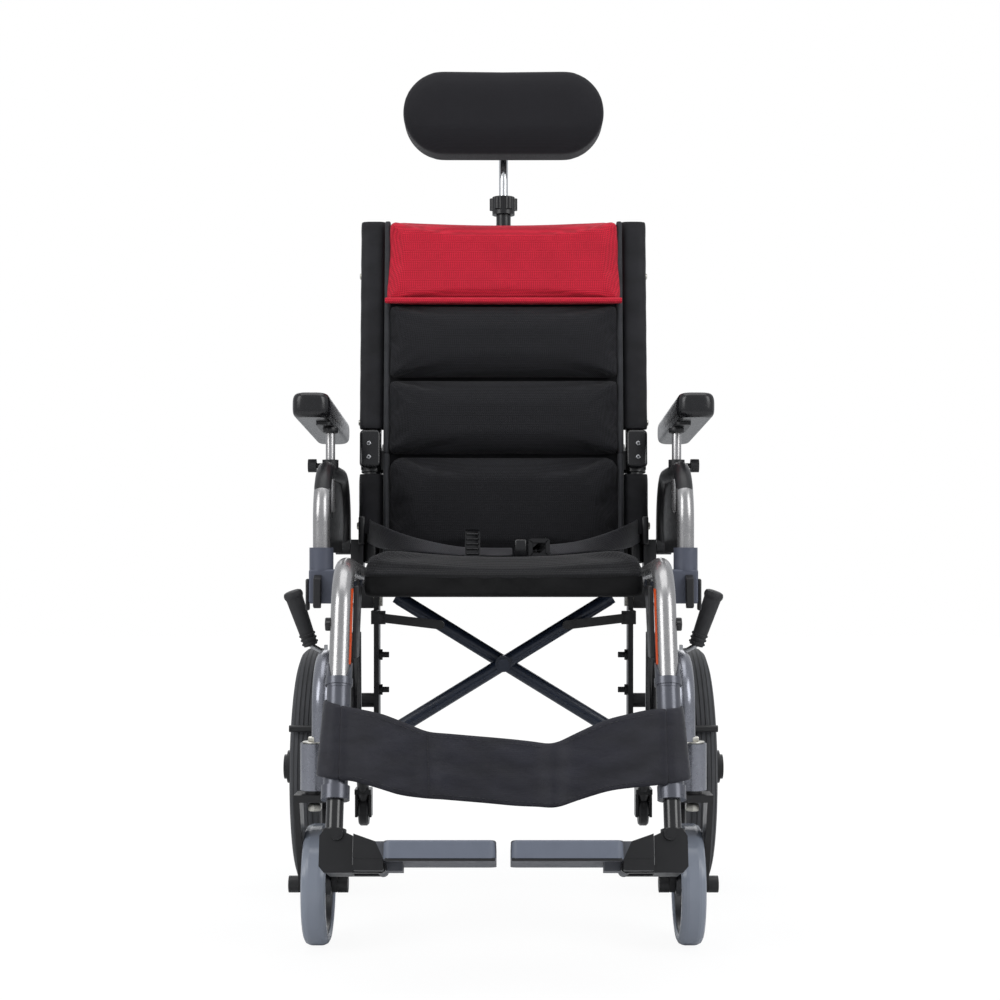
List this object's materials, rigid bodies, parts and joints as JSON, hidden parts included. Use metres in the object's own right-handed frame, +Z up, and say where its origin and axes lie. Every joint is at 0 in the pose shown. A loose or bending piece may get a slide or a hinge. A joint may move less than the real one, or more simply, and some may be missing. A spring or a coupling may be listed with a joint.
{
  "type": "tilt in space wheelchair",
  "caption": "Folding manual wheelchair whose seat tilts back on its base, with a half-folding back, headrest, height-set armrests, calf strap and flip-up footplates.",
  "frame": {"origin": "middle of the bounding box on the floor, under the wheels", "axes": "+Z up, the chair faces -Y, +X towards its right side as seen from the front"},
  "size_m": [0.646, 0.9, 1.1935],
  "materials": {
    "pad_foam": "black integral-skin foam",
    "socket_grey": "satin blue-grey",
    "red_fabric": "red spacer mesh",
    "black_steel": "semi-gloss black powder coat",
    "silver_frame": "satin silver powder coat",
    "zinc_hardware": "bright zinc",
    "brace_steel": "semi-gloss blue-black",
    "brake_steel": "plated blade with a black grip",
    "webbing": "black nylon",
    "castor_tyre": "grey solid tyre on a black hub",
    "footplate_plastic": "textured grey moulding",
    "gas_spring_black": "gloss black",
    "chrome_rod": "polished",
    "knob_plastic": "black lobed knob",
    "black_fabric": "fine black knit cover",
    "leg_tube": "satin dark grey",
    "rear_tyre": "grey ribbed solid tyre",
    "wheel_plastic": "black glass-filled nylon"
  },
  "bodies": {
    "base_left": {"base_frame_left": "silver_frame", "base_bracket_left": "black_steel", "base_hardware_left": "zinc_hardware", "rear_axle_left": "zinc_hardware", "anti_tipper_left": "black_steel"},
    "castor_fork_left": {"castor_fork_left": "black_steel"},
    "castor_wheel_left": {"castor_wheel_left": "castor_tyre"},
    "rear_wheel_left": {"rear_wheel_left": "wheel_plastic", "rear_tyre_left": "rear_tyre"},
    "anti_tipper_wheel_left": {"anti_tipper_wheel_left": "wheel_plastic"},
    "brake_lever_left": {"brake_lever_left": "brake_steel"},
    "brake_shoe_left": {"brake_shoe_left": "brake_steel"},
    "brace_link_left": {"brace_link_left": "black_steel"},
    "seat_left": {"seat_frame_left": "silver_frame", "leg_tube_left": "leg_tube", "footrest_bracket_left": "black_steel", "lower_cane_left": "black_steel", "arm_socket_left": "socket_grey", "back_pad_lower": "black_fabric", "calf_strap": "webbing"},
    "gas_spring_body_left": {"gas_spring_body_left": "gas_spring_black"},
    "gas_spring_rod_left": {"gas_spring_rod_left": "chrome_rod"},
    "footplate_left": {"footplate_left": "footplate_plastic"},
    "arm_left": {"arm_frame_left": "silver_frame"},
    "arm_pad_left": {"arm_pad_left": "pad_foam"},
    "upper_back_left": {"upper_cane_left": "black_steel", "back_pad_upper": "black_fabric", "back_top_panel": "red_fabric"},
    "base_right": {"base_frame_right": "silver_frame", "base_bracket_right": "black_steel", "base_hardware_right": "zinc_hardware", "rear_axle_right": "zinc_hardware", "anti_tipper_right": "black_steel"},
    "castor_fork_right": {"castor_fork_right": "black_steel"},
    "castor_wheel_right": {"castor_wheel_right": "castor_tyre"},
    "rear_wheel_right": {"rear_wheel_right": "wheel_plastic", "rear_tyre_right": "rear_tyre"},
    "anti_tipper_wheel_right": {"anti_tipper_wheel_right": "wheel_plastic"},
    "brake_lever_right": {"brake_lever_right": "brake_steel"},
    "brake_shoe_right": {"brake_shoe_right": "brake_steel"},
    "brace_link_right": {"brace_link_right": "black_steel"},
    "seat_right": {"seat_frame_right": "silver_frame", "leg_tube_right": "leg_tube", "footrest_bracket_right": "black_steel", "lower_cane_right": "black_steel", "arm_socket_right": "socket_grey"},
    "gas_spring_body_right": {"gas_spring_body_right": "gas_spring_black"},
    "gas_spring_rod_right": {"gas_spring_rod_right": "chrome_rod"},
    "footplate_right": {"footplate_right": "footplate_plastic"},
    "arm_right": {"arm_frame_right": "silver_frame"},
    "arm_pad_right": {"arm_pad_right": "pad_foam"},
    "upper_back_right": {"upper_cane_right": "black_steel"},
    "brace_front": {"brace_front": "brace_steel"},
    "brace_rear": {"brace_rear": "brace_steel"},
    "seat_pad": {"seat_cushion": "black_fabric", "lap_belt": "webbing"},
    "headrest_bar": {"headrest_bar": "black_steel"},
    "headrest_knob": {"headrest_knob": "knob_plastic"},
    "headrest": {"headrest_stem": "chrome_rod", "headrest_pad": "black_fabric"}
  },
  "joints": [
    {"name": "fold", "type": "hinge", "parent": "base_left", "child": "brace_front", "pos_m": [-0.185, -0.011, 0.227], "axis": [0, -1, 0], "range_deg": [0, 36], "deforming": ["seat_cushion", "back_pad_lower", "back_pad_upper", "back_top_panel", "calf_strap", "lap_belt"]},
    {"name": "brace_cross", "type": "hinge", "parent": "brace_front", "child": "brace_rear", "pos_m": [0, 0, 0.34081], "axis": [0, -1, 0], "range_deg": [-72, 0]},
    {"name": "frame_pivot", "type": "hinge", "parent": "brace_rear", "child": "base_right", "pos_m": [0.185, 0.011, 0.227], "axis": [0, -1, 0], "range_deg": [0, 36]},
    {"name": "seat_lift", "type": "slide", "parent": "seat_left", "child": "seat_pad", "axis": [0, 0, 1], "range_m": [0, 0.1537]},
    {"name": "link_left", "type": "hinge", "parent": "base_left", "child": "brace_link_left", "pos_m": [-0.166, -0.0305, 0.403], "axis": [0, -1, 0], "range_deg": [0, 84.6]},
    {"name": "link_right", "type": "hinge", "parent": "base_right", "child": "brace_link_right", "pos_m": [0.166, -0.0305, 0.403], "axis": [0, 1, 0], "range_deg": [0, 84.6]},
    {"name": "tilt", "type": "hinge", "parent": "base_left", "child": "seat_left", "pos_m": [-0.192, 0.04, 0.425], "axis": [1, 0, 0], "range_deg": [-30, 0]},
    {"name": "tilt_right", "type": "hinge", "parent": "base_right", "child": "seat_right", "pos_m": [0.192, 0.04, 0.425], "axis": [1, 0, 0], "range_deg": [-30, 0]},
    {"name": "gas_pivot_left", "type": "hinge", "parent": "base_left", "child": "gas_spring_body_left", "pos_m": [-0.192, -0.12, 0.25], "axis": [-1, 0, 0], "range_deg": [0, 6.65]},
    {"name": "gas_stroke_left", "type": "slide", "parent": "gas_spring_body_left", "child": "gas_spring_rod_left", "axis": [0, -0.0549, 0.9985], "range_m": [0, 0.0843]},
    {"name": "gas_pivot_right", "type": "hinge", "parent": "base_right", "child": "gas_spring_body_right", "pos_m": [0.192, -0.12, 0.25], "axis": [-1, 0, 0], "range_deg": [0, 6.65]},
    {"name": "gas_stroke_right", "type": "slide", "parent": "gas_spring_body_right", "child": "gas_spring_rod_right", "axis": [0, -0.0549, 0.9985], "range_m": [0, 0.0843]},
    {"name": "footplate_flip_left", "type": "hinge", "parent": "seat_left", "child": "footplate_left", "pos_m": [-0.137, -0.45181, 0.14624], "axis": [0, -0.9659, 0.2588], "range_deg": [0, 90]},
    {"name": "footplate_flip_right", "type": "hinge", "parent": "seat_right", "child": "footplate_right", "pos_m": [0.137, -0.45181, 0.14624], "axis": [0, 0.9659, -0.2588], "range_deg": [0, 90]},
    {"name": "back_fold", "type": "hinge", "parent": "seat_left", "child": "upper_back_left", "pos_m": [-0.192, 0.23208, 0.642], "axis": [-1, 0, 0], "range_deg": [0, 90]},
    {"name": "back_fold_right", "type": "hinge", "parent": "seat_right", "child": "upper_back_right", "pos_m": [0.192, 0.23208, 0.642], "axis": [-1, 0, 0], "range_deg": [0, 90]},
    {"name": "headrest_swing", "type": "hinge", "parent": "upper_back_left", "child": "headrest_bar", "pos_m": [-0.192, 0.26142, 0.905], "axis": [0, 0, 1], "range_deg": [0, 90]},
    {"name": "headrest_knob_turn", "type": "hinge", "parent": "headrest_bar", "child": "headrest_knob", "pos_m": [0, 0.28192, 1.001], "axis": [0, 0, 1], "continuous": true},
    {"name": "headrest_height", "type": "slide", "parent": "headrest_bar", "child": "headrest", "axis": [0, 0, 1], "range_m": [-0.02, 0.06]},
    {"name": "arm_flip_left", "type": "hinge", "parent": "seat_left", "child": "arm_left", "pos_m": [-0.235, 0.205, 0.5], "axis": [-1, 0, 0], "range_deg": [0, 90]},
    {"name": "arm_height_left", "type": "slide", "parent": "arm_left", "child": "arm_pad_left", "axis": [0, 0, 1], "range_m": [0, 0.05]},
    {"name": "castor_swivel_left", "type": "hinge", "parent": "base_left", "child": "castor_fork_left", "pos_m": [-0.231, -0.225, 0.199], "axis": [0, 0, 1], "continuous": true},
    {"name": "castor_spin_left", "type": "hinge", "parent": "castor_fork_left", "child": "castor_wheel_left", "pos_m": [-0.231, -0.18, 0.075], "axis": [1, 0, 0], "continuous": true},
    {"name": "wheel_spin_left", "type": "hinge", "parent": "base_left", "child": "rear_wheel_left", "pos_m": [-0.276, 0.22, 0.175], "axis": [1, 0, 0], "continuous": true},
    {"name": "anti_tipper_spin_left", "type": "hinge", "parent": "base_left", "child": "anti_tipper_wheel_left", "pos_m": [-0.222, 0.425, 0.082], "axis": [1, 0, 0], "continuous": true},
    {"name": "brake_left", "type": "hinge", "parent": "base_left", "child": "brake_lever_left", "pos_m": [-0.222, 0.026, 0.322], "axis": [1, 0, 0], "range_deg": [0, 35]},
    {"name": "brake_bar_left", "type": "hinge", "parent": "base_left", "child": "brake_shoe_left", "pos_m": [-0.222, 0.026, 0.291], "axis": [1, 0, 0], "range_deg": [0, 3.15]},
    {"name": "arm_flip_right", "type": "hinge", "parent": "seat_right", "child": "arm_right", "pos_m": [0.235, 0.205, 0.5], "axis": [-1, 0, 0], "range_deg": [0, 90]},
    {"name": "arm_height_right", "type": "slide", "parent": "arm_right", "child": "arm_pad_right", "axis": [0, 0, 1], "range_m": [0, 0.05]},
    {"name": "castor_swivel_right", "type": "hinge", "parent": "base_right", "child": "castor_fork_right", "pos_m": [0.231, -0.225, 0.199], "axis": [0, 0, 1], "continuous": true},
    {"name": "castor_spin_right", "type": "hinge", "parent": "castor_fork_right", "child": "castor_wheel_right", "pos_m": [0.231, -0.18, 0.075], "axis": [1, 0, 0], "continuous": true},
    {"name": "wheel_spin_right", "type": "hinge", "parent": "base_right", "child": "rear_wheel_right", "pos_m": [0.276, 0.22, 0.175], "axis": [1, 0, 0], "continuous": true},
    {"name": "anti_tipper_spin_right", "type": "hinge", "parent": "base_right", "child": "anti_tipper_wheel_right", "pos_m": [0.222, 0.425, 0.082], "axis": [1, 0, 0], "continuous": true},
    {"name": "brake_right", "type": "hinge", "parent": "base_right", "child": "brake_lever_right", "pos_m": [0.222, 0.026, 0.322], "axis": [1, 0, 0], "range_deg": [0, 35]},
    {"name": "brake_bar_right", "type": "hinge", "parent": "base_right", "child": "brake_shoe_right", "pos_m": [0.222, 0.026, 0.291], "axis": [1, 0, 0], "range_deg": [0, 3.15]}
  ],
  "couplings": [
    {"joint": "brace_cross", "follows": "fold", "ratio": -2},
    {"joint": "frame_pivot", "follows": "fold", "ratio": 1},
    {"joint": "seat_lift", "follows": "fold", "m_per_rad": 0.24449},
    {"joint": "link_left", "follows": "fold", "ratio": 2.3489},
    {"joint": "link_right", "follows": "fold", "ratio": 2.3489},
    {"joint": "tilt_right", "follows": "tilt", "ratio": 1},
    {"joint": "gas_pivot_left", "follows": "tilt", "ratio": -0.22152},
    {"joint": "gas_stroke_left", "follows": "tilt", "m_per_rad": -0.16097},
    {"joint": "gas_pivot_right", "follows": "tilt", "ratio": -0.22152},
    {"joint": "gas_stroke_right", "follows": "tilt", "m_per_rad": -0.16097},
    {"joint": "footplate_flip_left", "follows": "fold", "ratio": 2.5},
    {"joint": "footplate_flip_right", "follows": "fold", "ratio": 2.5},
    {"joint": "back_fold_right", "follows": "back_fold", "ratio": 1},
    {"joint": "headrest_swing", "follows": "fold", "ratio": 2.5},
    {"joint": "brake_bar_left", "follows": "brake_left", "ratio": 0.09},
    {"joint": "brake_bar_right", "follows": "brake_right", "ratio": 0.09}
  ]
}
